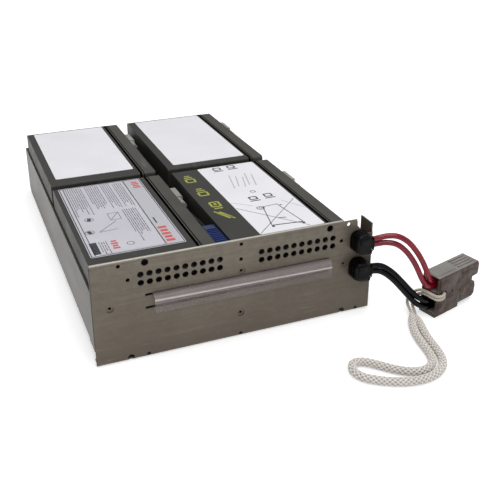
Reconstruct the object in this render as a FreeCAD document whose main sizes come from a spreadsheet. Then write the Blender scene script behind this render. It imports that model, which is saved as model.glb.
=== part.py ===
"""Battery cartridge of a rack power supply, in millimetres.

Four sealed lead-acid batteries lie on their broad sides in a folded steel tray with a front panel.
Their leads leave the panel through two right-angle strain reliefs and end in a two-pole connector,
which has a thin cord and a braided pull sleeve tied to it.

The tray, and all that is fixed in it, is drawn square to the panel: x runs along the panel from its
middle, y goes back from its outer face and z rises from its lower edge. The panel reaches below the
tray's floor, so the cartridge rests on the panel's foot and on the floor's rear edge, nose up. LAID
is that lie. The free cords and the connector are drawn on the ground in the part's own frame.
"""
import FreeCAD, Part
import math
import os
import re
from FreeCAD import Placement, Rotation, Vector

X_AXIS = Vector(1, 0, 0)
Y_AXIS = Vector(0, 1, 0)
Z_AXIS = Vector(0, 0, 1)

# ---------------------------------------------------------------- driving dimensions

DIMENSIONS = [
    ("sheet_gauge", 1.2, "thickness of the galvanised sheet"),
    ("bend_outer", 2.4, "outer radius of a fold"),
    ("bend_inner", 1.2, "inner radius of a fold"),
    ("panel_width", 226.0, "front panel, side to side"),
    ("panel_height", 82.0, "front panel, foot to top edge"),
    ("ear_depth", 18.6, "depth of the panel's folded side ears"),
    ("ear_top", 75.0, "top of the right ear"),
    ("ear_foot", 6.0, "foot of the right ear"),
    ("top_lip", 2.8, "depth of the panel's top lip"),
    ("top_lip_end", 86.0, "right end of the top lip"),
    ("foot_lip", 10.0, "depth of the panel's foot lip"),
    ("floor_drop", 12.8, "panel foot below the tray's floor"),
    ("wall_top", 62.0, "top of the left and rear walls"),
    ("right_wall_top", 54.0, "top of the right wall"),
    ("tray_end", 327.0, "outer face of the rear wall"),
    ("ramp_start", 315.5, "where the floor turns up to the rear wall"),
    ("ramp_rise", 5.7, "rise of that ramp"),
    ("vent_pitch", 6.66, "pitch of the ventilation holes"),
    ("vent_bore", 4.8, "diameter of a ventilation hole"),
    ("vent_row", 62.6, "height of the lower row of ventilation holes"),
    ("vent_middle", 46.6, "middle of each field of ventilation holes"),
    ("dimple_mouth", 6.0, "diameter of a pressed dimple"),
    ("dimple_depth", 0.7, "depth of a pressed dimple"),
    ("dimple_bore", 2.4, "diameter of the hole in a dimple"),
    ("slot_length", 148.0, "length of the two slots for the strap"),
    ("slot_gap", 2.0, "height of such a slot"),
    ("slot_upper", 51.2, "lower edge of the upper slot"),
    ("slot_lower", 40.6, "lower edge of the lower slot"),
    ("strap_width", 142.0, "width of the film strap"),
    ("strap_middle", 2.5, "middle of the film strap"),
    ("film_gauge", 0.5, "thickness of the film strap"),
    ("cell_length", 151.0, "battery, front to back"),
    ("cell_width", 94.0, "battery, with its lid"),
    ("cell_height", 65.0, "battery, lying on its broad side"),
    ("lid_depth", 13.5, "depth of the battery's lid"),
    ("cell_corner", 2.0, "corner radius of case and lid"),
    ("cell_lift", 15.0, "underside of the batteries"),
    ("front_row", 4.1, "front faces of the front batteries"),
    ("rear_row", 164.1, "front faces of the rear batteries"),
    ("left_column", -111.4, "left faces of the left batteries"),
    ("right_column", -5.4, "left faces of the right batteries"),
    ("tape_gauge", 1.0, "thickness of the foam tape under a battery"),
    ("label_gauge", 0.25, "thickness of a paper label"),
    ("vent_plate", 0.8, "thickness of the valve cover on a lid"),
    ("tab_width", 6.35, "width of a terminal tab"),
    ("tab_gauge", 0.8, "thickness of a terminal tab"),
    ("tab_reach", 7.0, "length of a terminal tab"),
    ("tab_station", 120.6, "middle of a tab from the battery's front"),
    ("upper_tab", 72.0, "height of the upper tabs"),
    ("lower_tab", 24.0, "height of the lower tabs"),
    ("boot_height", 8.0, "height of a terminal boot"),
    ("boot_width", 7.7, "width of a terminal boot"),
    ("boot_barrel", 3.4, "radius of the boot's wire barrel"),
    ("boot_body", 20.0, "length of the boot's square body"),
    ("boot_neck", 13.0, "length of the boot's wire barrel"),
    ("boot_neck_short", 9.6, "length of the barrel on the boot that faces the rear row"),
    ("relief_x", 98.8, "both strain reliefs, to the right of the middle"),
    ("relief_upper", 64.0, "height of the upper strain relief"),
    ("relief_lower", 40.4, "height of the lower strain relief"),
    ("relief_bore", 11.5, "hole in the panel for a strain relief"),
    ("relief_width", 13.4, "strain relief's elbow, side to side"),
    ("relief_height", 16.4, "strain relief's elbow, top to bottom"),
    ("relief_reach", 12.0, "how far the elbow stands out"),
    ("relief_corner", 5.0, "rounding of the elbow's four sides"),
    ("relief_nose", 2.5, "rounding of the elbow's front"),
    ("relief_tail", 8.0, "how far the barrel reaches behind the face"),
    ("snout_end", 107.0, "end face of the strain relief's snout"),
    ("snout_out", 7.5, "middle of the snout in front of the panel"),
    ("snout_depth", 8.0, "snout, front to back"),
    ("snout_height", 10.0, "snout, top to bottom"),
    ("lead_bore", 4.5, "diameter of a lead"),
    ("plug_length", 51.0, "connector, with its upper lip"),
    ("plug_height", 36.5, "connector, standing on its narrow side"),
    ("plug_depth", 15.9, "connector, through both poles"),
    ("plug_x", 154.3, "connector's near foot, across"),
    ("plug_y", -195.0, "connector's near foot, along"),
    ("plug_yaw", 15.8, "turn of the connector about the upright"),
    ("tie_bore", 2.6, "diameter of the thin tie cord"),
    ("sleeve_bore", 6.8, "diameter of the braided pull sleeve"),
    ("centre_y", 162.26, "middle of the cartridge behind the panel's face"),
]

doc = FreeCAD.newDocument("BatteryCartridge")
sheet = doc.addObject("Spreadsheet::Sheet", "Dimensions")
for row, (alias, value, note) in enumerate(DIMENSIONS, start=1):
    sheet.set(f"A{row}", note)
    sheet.set(f"B{row}", str(value))
    sheet.setAlias(f"B{row}", alias)
doc.recompute()
ALIASES = {alias for alias, value, note in DIMENSIONS}


def dim(alias):
    """Give the number that the sheet holds under this alias."""
    return float(sheet.get(alias))


def sheet_terms(text):
    """Point every alias in an expression at the sheet."""
    def qualify(match):
        word = match.group()
        return f"Dimensions.{word}" if word in ALIASES else word
    return re.sub(r"[a-z_]+", qualify, str(text))


def bind(item, **terms):
    """Bind an object's properties to expressions over the sheet."""
    for name, text in terms.items():
        item.setExpression(name.replace("_", "."), sheet_terms(text))


tilt = math.degrees(math.atan2(dim("floor_drop"), dim("ramp_start") - dim("foot_lip")))
LAID = Placement(Vector(0, -dim("centre_y"), 0), Rotation(X_AXIS, -tilt), Vector(0, dim("foot_lip"), 0))
PLUGGED = Placement(Vector(dim("plug_x"), dim("plug_y"), 0), Rotation(Z_AXIS, dim("plug_yaw")))
parts = []


def keep(item, label, placement=LAID):
    """Name a finished sub-part and put it in its place."""
    item.Label = label
    item.Placement = placement
    parts.append(item)


# ---------------------------------------------------------------- solids

def box(name, x, y, z, length, width, height):
    item = doc.addObject("Part::Box", name)
    bind(item, Length=length, Width=width, Height=height)
    bind(item, Placement_Base_x=x, Placement_Base_y=y, Placement_Base_z=z)
    return item


def cylinder(name, x, y, z, radius, height, axis):
    item = doc.addObject("Part::Cylinder", name)
    item.Placement = Placement(Vector(), Rotation(Z_AXIS, axis))
    bind(item, Radius=radius, Height=height)
    bind(item, Placement_Base_x=x, Placement_Base_y=y, Placement_Base_z=z)
    return item


def prism(name, corners, axis, length):
    """Extrude a closed outline along an axis."""
    outline = doc.addObject("Part::Polygon", name + "Outline")
    outline.Nodes = corners
    outline.Close = True
    item = doc.addObject("Part::Extrusion", name)
    item.Base = outline
    item.DirMode = "Custom"
    item.Dir = axis
    item.Solid = True
    bind(item, LengthFwd=length)
    return item


def fused(name, items):
    item = doc.addObject("Part::MultiFuse", name)
    item.Shapes = items
    item.Refine = True
    return item


def grouped(name, items):
    item = doc.addObject("Part::Compound", name)
    item.Links = items
    return item


def cut(name, base, tools):
    item = doc.addObject("Part::Cut", name)
    item.Base = base
    item.Tool = tools[0] if len(tools) == 1 else grouped(name + "Tools", tools)
    return item


def rounded(name, base, radius, chosen):
    """Round the edges that chosen picks from the base's shape."""
    doc.recompute()
    size = dim(radius) if radius in ALIASES else radius
    item = doc.addObject("Part::Fillet", name)
    item.Base = base
    item.Edges = [(n, size, size) for n, edge in enumerate(base.Shape.Edges, 1) if chosen(edge)]
    return item


def along(axis):
    """Pick straight edges that run along an axis."""
    def chosen(edge):
        return abs(edge.tangentAt(edge.FirstParameter).dot(axis)) > 0.999
    return chosen


def rounded_box(name, place, size, radius, axis):
    block = box(name + "Block", *place, *size)
    return rounded(name, block, radius, along(axis))


# ---------------------------------------------------------------- tray and strap

def front_shell():
    """The panel with its four folded lips, cut from a hollow rounded block."""
    def at_face(edge):
        return edge.BoundBox.YMax < dim("sheet_gauge") + 0.01
    outer = box("FrontBlock", "-panel_width / 2", 0, 0, "panel_width", "ear_depth", "panel_height")
    inner = box("FrontHollow", "-panel_width / 2 + sheet_gauge", "sheet_gauge", "sheet_gauge",
                "panel_width - 2 * sheet_gauge", "ear_depth", "panel_height - 2 * sheet_gauge")
    shell = cut("FrontShell", rounded("FrontOuter", outer, "bend_outer", at_face),
                [rounded("FrontInner", inner, "bend_inner", at_face)])
    half = "panel_width / 2"
    trims = [
        box("TrimTopLip", f"-{half} - 1", "top_lip", "panel_height - bend_outer",
            "panel_width + 2", "ear_depth", 5),
        box("TrimTopLipEnd", "top_lip_end", "sheet_gauge", "panel_height - 2.5", 40, 5, 5),
        box("TrimTopLipLeft", f"-{half} - 1", "sheet_gauge", "wall_top", 2.2, "ear_depth", 30),
        box("TrimLeftFoot", f"-{half} - 1", "sheet_gauge", -1, 2.2, "ear_depth", "floor_drop + 1"),
        box("TrimFootLip", f"-{half} - 1", "foot_lip", -1, "panel_width + 2", "ear_depth", 3),
        box("TrimEarTop", f"{half} - 2.4", "sheet_gauge", "ear_top", 4, "ear_depth", 20),
        box("TrimEarFoot", f"{half} - 2.4", "sheet_gauge", -1, 4, "ear_depth", "ear_foot + 1"),
    ]
    corner = [(97.5, 84.0), (97.8, 76.5), (105.6, 67.8), (118.0, 67.8), (118.0, 84.0)]
    notch = prism("PanelCorner", [Vector(x, -1, z) for x, z in corner], Y_AXIS, "bend_outer + 1")
    edge_flat = box("PanelLeftEdge", f"-{half}", 0, "wall_top - 1", 4, "sheet_gauge",
                    "panel_height - wall_top + 1 - bend_outer")
    return fused("Front", [cut("FrontTrimmed", shell, trims + [notch]), edge_flat])


def trough():
    """Floor, side walls, rear ramp and rear wall of the tray, folded from one sheet."""
    def long_fold(edge):
        low = edge.BoundBox.ZMax < dim("floor_drop") + dim("sheet_gauge") + 0.01
        return low and along(Y_AXIS)(edge)
    gauge = dim("sheet_gauge")
    floor, end, start = dim("floor_drop"), dim("tray_end"), dim("ramp_start")
    step = floor + dim("ramp_rise")
    left = -dim("panel_width") / 2
    outer_side = [(gauge, floor), (start, floor), (end, step), (end, dim("wall_top")),
                  (gauge, dim("wall_top"))]
    inner_side = [(0.0, floor + gauge), (start - 0.3, floor + gauge), (end - gauge, step + 0.8),
                  (end - gauge, 100.0), (0.0, 100.0)]
    outer = prism("TroughOuterBlock", [Vector(left, y, z) for y, z in outer_side], X_AXIS,
                  "panel_width - sheet_gauge")
    inner = prism("TroughInnerBlock", [Vector(left + gauge, y, z) for y, z in inner_side], X_AXIS,
                  "panel_width - 3 * sheet_gauge")
    lowered = box("LowerRightWall", "panel_width / 2 - 4", 0, "right_wall_top", 10,
                  "tray_end - sheet_gauge", 40)
    return cut("Trough", rounded("TroughOuter", outer, "bend_outer", long_fold),
               [rounded("TroughInner", inner, "bend_inner", long_fold), lowered])


def panel_bores():
    """Every round hole that goes through the panel."""
    bores = []
    for side in (-1, 1):
        for column in range(10):
            for line in range(2):
                bores.append(cylinder("VentBore", f"{side} * vent_middle + {column - 4.5} * vent_pitch",
                                      -1, f"vent_row + {line} * vent_pitch", "vent_bore / 2", 5, Y_AXIS))
    # x and z of a hole's middle, and its diameter, along the top edge, the sides and the foot
    singles = [(-92.1, 78.6, 3.0), (-73.0, 78.2, 5.4), (0.3, 78.6, 3.0), (73.7, 78.0, 5.4),
               (90.1, 78.7, 3.2), (-85.9, 66.7, 3.0), (0.1, 66.4, 3.0), (84.2, 65.6, 3.0)]
    for x, z, bore in singles:
        bores.append(cylinder("PanelBore", x, -1, z, bore / 2, 3, Y_AXIS))
    for height in ("relief_upper", "relief_lower"):
        bores.append(cylinder("ReliefBore", "relief_x", -1, height, "relief_bore / 2", 3, Y_AXIS))
    return bores


def foot_notches():
    """Half-round notches in the fold at the panel's foot."""
    notches = []
    for x, bore in ((-86.9, 5.2), (87.2, 5.2), (-73.5, 3.0), (-0.4, 3.0), (100.1, 3.0)):
        notches.append(cylinder("FootNotch", x, -1, 2.4, bore / 2, 3, Y_AXIS))
    return notches


def build_tray():
    slots = []
    for height in ("slot_upper", "slot_lower"):
        slots.append(box("StrapSlot", "-slot_length / 2", -1, height, "slot_length", 3, "slot_gap"))
    backs, mouths = [], []
    for x, z in ((-100.1, 46.4), (0.4, 56.6), (-0.4, 20.8), (87.0, 45.0)):
        backs.append(cylinder("DimpleBack", x, "sheet_gauge", z, "dimple_mouth / 2 + 0.6",
                              "dimple_depth", Y_AXIS))
        mouths.append(cylinder("DimpleMouth", x, -1, z, "dimple_mouth / 2", "dimple_depth + 1", Y_AXIS))
        mouths.append(cylinder("DimpleBore", x, -1, z, "dimple_bore / 2", 5, Y_AXIS))
    folded = fused("FoldedSheet", [front_shell(), trough()] + backs)
    keep(cut("Tray", folded, panel_bores() + foot_notches() + slots + mouths), "tray")


def build_handle_strap():
    """A clear film band through both slots, with a rounded nose that sags below the lower one."""
    half = dim("film_gauge") / 2
    x = dim("strap_middle") - dim("strap_width") / 2
    high = dim("slot_upper") + dim("slot_gap") / 2
    low = dim("slot_lower") + dim("slot_gap") / 2
    behind = 2.45
    nose = Part.Arc(Vector(x, -3.0, high + 0.1), Vector(x, -5.7, high - 1.6), Vector(x, -6.2, high - 4.2))
    heel = Part.Arc(Vector(x, -6.2, low - 1.2), Vector(x, -4.4, low - 3.4), Vector(x, -2.6, low - 1.4))
    entry = Vector(x, -1.7, low)
    inside = [Vector(x, behind - 0.7, low), Vector(x, behind, low + 0.7),
              Vector(x, behind, high - 0.7), Vector(x, behind - 0.7, high)]
    edges = [nose.toShape(),
             Part.LineSegment(nose.EndPoint, heel.StartPoint).toShape(),
             heel.toShape(),
             Part.LineSegment(heel.EndPoint, entry).toShape(),
             Part.LineSegment(entry, inside[0]).toShape(),
             Part.LineSegment(inside[0], inside[1]).toShape(),
             Part.LineSegment(inside[1], inside[2]).toShape(),
             Part.LineSegment(inside[2], inside[3]).toShape(),
             Part.LineSegment(inside[3], nose.StartPoint).toShape()]
    path = Part.Wire(edges)
    outer = path.makeOffset2D(half)
    inner = path.makeOffset2D(-half)
    band = Part.Face(outer).extrude(Vector(dim("strap_width"), 0, 0))
    hollow = Part.Face(inner).extrude(Vector(dim("strap_width"), 0, 0))
    item = doc.addObject("Part::Feature", "HandleStrap")
    item.Shape = band.cut(hollow)
    keep(item, "handle_strap")


# ---------------------------------------------------------------- batteries

BATTERIES = [
    ("front_left", "left_column", "front_row"),
    ("front_right", "right_column", "front_row"),
    ("rear_left", "left_column", "rear_row"),
    ("rear_right", "right_column", "rear_row"),
]


def build_battery(spot, column, row):
    case_width = f"{column} + cell_width - lid_depth"
    face = f"{column} + cell_width"
    keep(rounded_box("Case", (column, row, "cell_lift"),
                     ("cell_width - lid_depth", "cell_length", "cell_height"), "cell_corner", X_AXIS),
         f"battery_case_{spot}")
    keep(rounded_box("Lid", (case_width, row, "cell_lift"),
                     ("lid_depth", "cell_length", "cell_height"), "cell_corner", X_AXIS),
         f"battery_lid_{spot}")
    tabs = []
    for height in ("upper_tab", "lower_tab"):
        tabs.append(box("Tab", face, f"{row} + tab_station - tab_width / 2", f"{height} - tab_gauge / 2",
                        "tab_reach", "tab_width", "tab_gauge"))
    keep(grouped("Terminals", tabs), f"terminals_{spot}")
    keep(rounded_box("Tape", (f"{column} + 12", f"{row} + 15", "cell_lift - tape_gauge"),
                     ("70", "cell_length - 30", "tape_gauge"), 2.0, Z_AXIS),
         f"adhesive_pad_{spot}")


def build_labels():
    """Paper labels on the batteries' upper sides: left edge, width, front edge and length on each."""
    sizes = {
        "front_left": (4.0, 71.0, 12.5, 135.5),
        "front_right": (24.0, 54.0, 2.5, 146.0),
        "rear_left": (6.5, 70.5, 13.0, 134.0),
        "rear_right": (7.7, 70.5, 8.0, 139.0),
    }
    for spot, column, row in BATTERIES:
        left, width, front, length = sizes[spot]
        keep(rounded_box("Label", (f"{column} + {left}", f"{row} + {front}", "cell_lift + cell_height"),
                         (width, length, "label_gauge"), 1.5, Z_AXIS), f"label_{spot}")


def build_vent_covers():
    """The flat plate over the valves in each lid."""
    plates = []
    for spot, column, row in BATTERIES:
        plates.append(rounded_box("VentPlate", (f"{column} + cell_width", f"{row} + 42", "cell_lift + 18"),
                                  ("vent_plate", 88, 29), 3.0, X_AXIS))
    keep(grouped("VentCovers", plates), "vent_covers")


def build_boots():
    """Nylon boots over the tabs. Each has a square body, a wire barrel and a slot for its tab."""
    for spot, column, row in BATTERIES:
        for level in ("upper", "lower"):
            facing = 1 if (spot, level) == ("front_left", "lower") else -1
            x = f"{column} + cell_width + 0.3"
            middle = f"{level}_tab"
            near = f"{row} + tab_station + {-4.5 if facing > 0 else 4.5}"
            start = near if facing > 0 else f"{near} - boot_body"
            body = rounded_box("BootBody", (x, start, f"{middle} - boot_height / 2"),
                               ("boot_width", "boot_body", "boot_height"), 1.2, Y_AXIS)
            root = f"{start} + boot_body" if facing > 0 else start
            neck = "boot_neck_short" if facing > 0 else "boot_neck"
            barrel = cylinder("BootBarrel", f"{x} + boot_width / 2", root, middle,
                              "boot_barrel", neck, facing * Y_AXIS)
            slot = box("BootSlot", f"{column} + cell_width", f"{row} + tab_station - tab_width / 2",
                       f"{middle} - tab_gauge / 2", "tab_reach", "tab_width", "tab_gauge")
            whole = fused("BootWhole", [body, barrel])
            keep(cut("Boot", whole, [slot]), f"terminal_boot_{spot}_{level}")


def build_packing():
    """Foam between the rows of batteries and behind them."""
    gap = "rear_row - front_row - cell_length"
    for side, x, length in (("left", -100.0, 58.0), ("right", 8.0, 58.0)):
        keep(rounded_box("Spacer", (x, "front_row + cell_length", "cell_lift + 29"), (length, gap, 24),
                         2.0, Y_AXIS), f"spacer_{side}")
        keep(rounded_box("RearPad", (x, "rear_row + cell_length", "cell_lift + 5"),
                         (length, "tray_end - sheet_gauge - rear_row - cell_length", 38), 2.0, Y_AXIS),
             f"rear_pad_{side}")


def build_fuse_holders():
    """Moulded in-line fuse holders, one in each battery string."""
    for side, place in (("left", (-16.9, 6.0, 56.0)), ("right", (99.4, 22.0, 28.0))):
        keep(rounded_box("FuseHolder", place, (11.0, 34.0, 23.0), 1.5, Y_AXIS), f"fuse_holder_{side}")


# ---------------------------------------------------------------- strain reliefs and connector

def build_strain_relief(level):
    """A right-angle bushing: barrel through the panel, rounded elbow and oval snout."""
    def at_front(edge):
        return edge.BoundBox.YMax < 0.01 - dim("relief_reach")
    middle = f"relief_{level}"
    elbow = rounded_box("Elbow", ("relief_x - relief_width / 2", "-relief_reach",
                                  f"{middle} - relief_height / 2"),
                        ("relief_width", "relief_reach", "relief_height"), "relief_corner", Y_AXIS)
    snout = rounded_box("Snout", ("relief_x", "-snout_out - snout_depth / 2",
                                  f"{middle} - snout_height / 2"),
                        ("snout_end - relief_x", "snout_depth", "snout_height"), 2.5, X_AXIS)
    barrel = cylinder("Barrel", "relief_x", 0, middle, "relief_bore / 2", "relief_tail", Y_AXIS)
    whole = [rounded("ElbowNose", elbow, "relief_nose", at_front), snout, barrel]
    keep(fused("StrainRelief", whole), f"strain_relief_{level}")


# height of each pole's middle: the leads' pocket, and the contact's channel to the mating mouth
POLES = [("positive", 28.9, 29.4), ("negative", 9.5, 9.4)]


def build_connector():
    """A two-pole housing drawn from its back face: x towards the mating end, z up its height."""
    length, top = dim("plug_length"), dim("plug_height")
    side = [(0, 0), (29, 0), (29, 3.8), (46.6, 3.8), (49.2, 5.8), (49.2, 13.4), (47.8, 17.6), (44, 18.0),
            (44, 23.4), (length - 1, 23.8), (length, 25.0), (length, top - 3.5), (length - 2, top), (0, top)]
    body = prism("HousingBody", [Vector(x, 0, z) for x, z in side], Y_AXIS, "plug_depth")
    hollows = [rounded_box("TieHole", (6.2, -1, 16.1), (5.0, 5, 6.2), 1.6, Y_AXIS)]
    for x, z in ((18.2, 17.4), (28.2, 14.4)):
        hollows.append(box("LatchSlot", x, -1, z, 1.4, 2.4, 2.6))
    for pole, pocket, channel in POLES:
        hollows.append(box("LeadPocket", -1, 1.3, pocket - 6, 17, "plug_depth - 2.6", 12.5))
        hollows.append(box("ContactChannel", 15, 2.6, channel - 3.2, 40, "plug_depth - 5.2", 6.4))
    keep(cut("Housing", body, hollows), "connector_housing", PLUGGED)
    springs = []
    for pole, pocket, channel in POLES:
        crimp = box("Crimp", 7, 3.2, pocket - 5.2, 8, 9, 10.2)
        tongue = box("Tongue", 14, 4, channel - 1.9, 30, 8, 2)
        keep(fused("Contact", [crimp, tongue]), f"contact_{pole}", PLUGGED)
        springs.append(box("Spring", 18, 5, channel - 3.2, 22, 6, 1.3))
    keep(grouped("Springs", springs), "contact_springs", PLUGGED)


# ---------------------------------------------------------------- cords

def cord_path(points):
    """Straight runs joined by tangent arcs, each as large as its two runs allow."""
    edges = []
    radii = []
    start = points[0]
    for before, here, after in zip(points, points[1:], points[2:]):
        back = (before - here).normalize()
        ahead = (after - here).normalize()
        half_turn = (math.pi - back.getAngle(ahead)) / 2
        reach = 0.45 * min((before - here).Length, (after - here).Length)
        radius = reach / math.tan(half_turn)
        middle = (back + ahead).normalize() * (radius / math.cos(half_turn) - radius)
        enter = here + back * reach
        leave = here + ahead * reach
        edges.append(Part.LineSegment(start, enter).toShape())
        edges.append(Part.Arc(enter, here + middle, leave).toShape())
        radii.append(radius)
        start = leave
    edges.append(Part.LineSegment(start, points[-1]).toShape())
    return Part.Wire(edges), radii


def build_cord(label, route, bore, placement=Placement()):
    points = [Vector(*point) for point in route]
    path, radii = cord_path(points)
    radius = dim(bore) / 2
    circle = Part.Circle(points[0], points[1] - points[0], radius)
    profile = Part.Wire([circle.toShape()])
    item = doc.addObject("Part::Feature", "Cord")
    item.Shape = path.makePipeShell([profile], True, True)
    keep(item, label, placement)
    share = item.Shape.Volume / (math.pi * radius ** 2 * path.Length)
    print(f"{label}: length {path.Length:.1f}, least radius {min(radii):.1f}, volume share {share:.4f}")


# Jumpers between the batteries and the fuse holders, in the tray's own directions.
JUMPERS = {
    "jumper_left_front": [(-13.25, 90.2, 72), (-13.25, 80, 72), (-12.4, 68, 72.2), (-11.6, 54, 73),
                          (-11.6, 40, 73)],
    "jumper_left_rear": [(-11.6, 40, 62), (-11.6, 52, 62), (-11.2, 72, 59.6), (-10.9, 100, 57.2),
                         (-11, 136, 57), (-11.2, 170, 59.6), (-12, 200, 65.4), (-12.9, 222, 70.4),
                         (-13.25, 236, 72), (-13.25, 250.2, 72)],
    "jumper_right_front": [(92.75, 90.2, 72), (92.75, 84.8, 72), (94.8, 79.2, 68.4),
                           (98.6, 74.8, 61.2), (102.4, 70.4, 53.2), (104.6, 64.6, 47.0),
                           (104.6, 60.4, 45), (104.6, 56, 45)],
    "jumper_right_rear": [(104.6, 56, 34), (104.6, 62, 34), (105.4, 72, 36.4), (107.0, 92, 43),
                          (107.2, 134, 47), (106.2, 176, 51), (102.4, 206, 58.6), (96.8, 226, 66.6),
                          (92.75, 238, 72), (92.75, 250.2, 72)],
}

# Long leads from the batteries' lower terminals to the strain reliefs, in the tray's own directions.
LONG_LEADS = {
    "harness_red_front_left": [
        (-13.25, 149.8, 24), (-13.25, 153.8, 24), (-12.6, 157.2, 26.8), (-9.6, 159.4, 31.0),
        (-3.2, 160.0, 34.8), (8, 159.5, 37.0), (28, 159.8, 38.0), (54, 159.4, 38.4), (78, 159.7, 38.5),
        (93.0, 159.0, 38.4), (100.4, 153.8, 38.6), (102.0, 142, 38.2), (101.6, 116, 39),
        (100.2, 88, 42.4), (98.2, 66, 48.8), (96.8, 46, 56.6), (96.8, 28, 63.4), (97, 17, 66.4),
        (97, 8, 66.4)],
    "harness_red_front_right": [
        (92.75, 90.2, 24), (92.75, 82, 24), (93.2, 71, 28.4), (93.6, 57, 37.8), (94.4, 41, 49.0),
        (96.0, 26, 58.6), (97, 16.5, 61.6), (97, 8, 61.6)],
    "harness_black_rear_left": [
        (-13.25, 250.2, 24), (-13.25, 238, 24), (-12.2, 222, 23.6), (-11.4, 200, 22.6),
        (-11.8, 180, 21.8), (-11.6, 168.4, 21.4), (-8.6, 161.4, 21.2), (-1.2, 159.3, 21.4),
        (12, 159.6, 21.6), (40, 159.9, 22), (68, 159.4, 22.6), (84, 159.6, 23.2), (93.6, 158.6, 24),
        (100.6, 152.6, 25), (102.0, 140, 26), (101.4, 112, 26.8), (100.0, 86, 27.2), (98.9, 70, 27.8),
        (96.4, 54, 30.4), (95.0, 38, 36.2), (95.8, 25, 41.2), (97, 16.4, 42.8), (97, 8, 42.8)],
    "harness_black_rear_right": [
        (92.75, 250.2, 24), (92.75, 240, 24), (95.0, 228, 22.4), (99.8, 212, 19.4), (103.6, 190, 18),
        (105, 154, 17.9), (104.8, 116, 18.4), (103.0, 84, 19), (98.8, 62, 20.4), (95.0, 44, 24.6),
        (94.8, 30, 30.8), (96.2, 20.4, 36.0), (97, 14.2, 38), (97, 8, 38)],
}

# Free leads from the snouts to the connector, on the ground frame.
FREE_LEADS = {
    "lead_red_upper": [
        (107, -167.0, 67.1), (112.4, -167.0, 67.1), (118.6, -169.2, 69.0), (126.4, -173.0, 69.4),
        (134.0, -177.0, 64.8), (140.2, -180.4, 56.6), (144.7, -183.0, 48.5), (147.7, -185.0, 41.4),
        (149.4, -186.7, 35.5), (151.6, -187.6, 31.5), (155.28, -186.72, 30.3),
        (158.94, -185.68, 30.3)],
    "lead_red_lower": [
        (107, -167.2, 62.3), (112.4, -167.2, 62.3), (118.2, -169.8, 63.6), (125.6, -173.8, 62.9),
        (132.4, -177.4, 57.1), (138.0, -180.8, 48.6), (141.7, -183.3, 40.6), (144.5, -185.3, 33.4),
        (147.8, -187.2, 28.1), (151.6, -187.7, 26.1), (155.28, -186.72, 25.4),
        (158.94, -185.68, 25.4)],
    "lead_black_upper": [
        (107, -168.0, 43.3), (112.2, -168.0, 43.3), (117.6, -170.4, 42.9), (124.4, -174.2, 38.5),
        (131.4, -178.0, 30.9), (138.0, -181.6, 22.7), (143.8, -184.9, 16.4), (149.2, -187.2, 13.2),
        (153.6, -187.2, 12.0), (156.6, -186.35, 11.9), (158.94, -185.68, 11.9)],
    "lead_black_lower": [
        (107, -168.2, 38.5), (112.2, -168.2, 38.5), (117.4, -171.0, 37.5), (123.8, -174.9, 32.4),
        (130.4, -178.9, 24.6), (136.4, -182.2, 17.0), (142.0, -185.0, 10.8), (147.6, -187.1, 7.6),
        (152.6, -187.4, 6.9), (156.2, -186.47, 6.9), (158.94, -185.68, 6.9)],
}

# The thin cord's two legs run from the connector's tie hole round its back to the sleeve's ends.
TIE_LEGS = {
    "tie_leg_upper": [
        (162.4, -189.6, 20.6), (162.6, -192.6, 20.7), (161.2, -195.0, 20.8), (158.4, -196.4, 20.9),
        (155.3, -197.1, 21.1), (152.5, -196.0, 21.4), (150.9, -192.6, 21.6), (149.6, -188.0, 21.9),
        (148.2, -183.4, 21.5), (146.4, -179.2, 19.3), (143.8, -176.2, 15.6), (140.4, -175.6, 11.8),
        (138.0, -178.4, 8.0), (137.0, -182.6, 4.9), (135.9, -185.8, 3.5), (134.5, -188.8, 3.5)],
    "tie_leg_lower": [
        (162.5, -189.6, 17.8), (162.7, -192.6, 17.8), (161.3, -195.0, 17.9), (158.5, -196.4, 18.0),
        (155.4, -197.1, 18.2), (152.7, -196.0, 18.5), (151.2, -192.8, 18.8), (150.2, -188.6, 19.0),
        (149.0, -184.2, 18.6), (147.4, -180.2, 16.3), (145.2, -177.6, 12.9), (142.8, -178.2, 9.2),
        (142.2, -181.8, 6.0), (142.6, -185.6, 3.9), (142.2, -189.0, 3.5), (140.9, -192.0, 3.5)],
}

PULL_ROPE = [
    (134.5, -188.8, 3.5), (131.3, -195.6, 3.5), (127.8, -203.8, 3.5), (124.9, -212.6, 3.5),
    (122.9, -222.4, 3.5), (121.7, -232.0, 3.5), (120.0, -241.0, 3.5), (115.2, -248.4, 3.5),
    (107.8, -252.2, 3.5), (99.4, -251.8, 3.5), (91.0, -247.6, 3.5), (83.2, -241.0, 3.5),
    (75.6, -232.6, 3.5), (67.6, -226.4, 3.5), (60.2, -227.0, 3.5), (56.8, -234.4, 3.5),
    (59.6, -243.2, 3.5), (68.6, -250.4, 3.5), (80.4, -256.8, 3.5), (92.4, -260.2, 3.5),
    (104.4, -260.6, 3.5), (114.6, -257.6, 3.5), (122.8, -251.4, 3.5), (127.4, -242.6, 3.5),
    (129.0, -232.8, 3.5), (130.2, -223.2, 3.5), (132.2, -214.2, 3.5), (134.8, -206.0, 3.5),
    (138.0, -198.6, 3.5), (140.9, -192.0, 3.5)]


def build_cords():
    for label, route in {**JUMPERS, **LONG_LEADS}.items():
        build_cord(label, route, "lead_bore", LAID)
    for label, route in FREE_LEADS.items():
        build_cord(label, route, "lead_bore")
    for label, route in TIE_LEGS.items():
        build_cord(label, route, "tie_bore")
    build_cord("pull_rope", PULL_ROPE, "sleeve_bore")


# ---------------------------------------------------------------- the whole cartridge

build_tray()
build_handle_strap()
for battery in BATTERIES:
    build_battery(*battery)
build_labels()
build_vent_covers()
build_boots()
build_packing()
build_fuse_holders()
build_strain_relief("upper")
build_strain_relief("lower")
build_connector()
build_cords()
doc.recompute()

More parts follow.
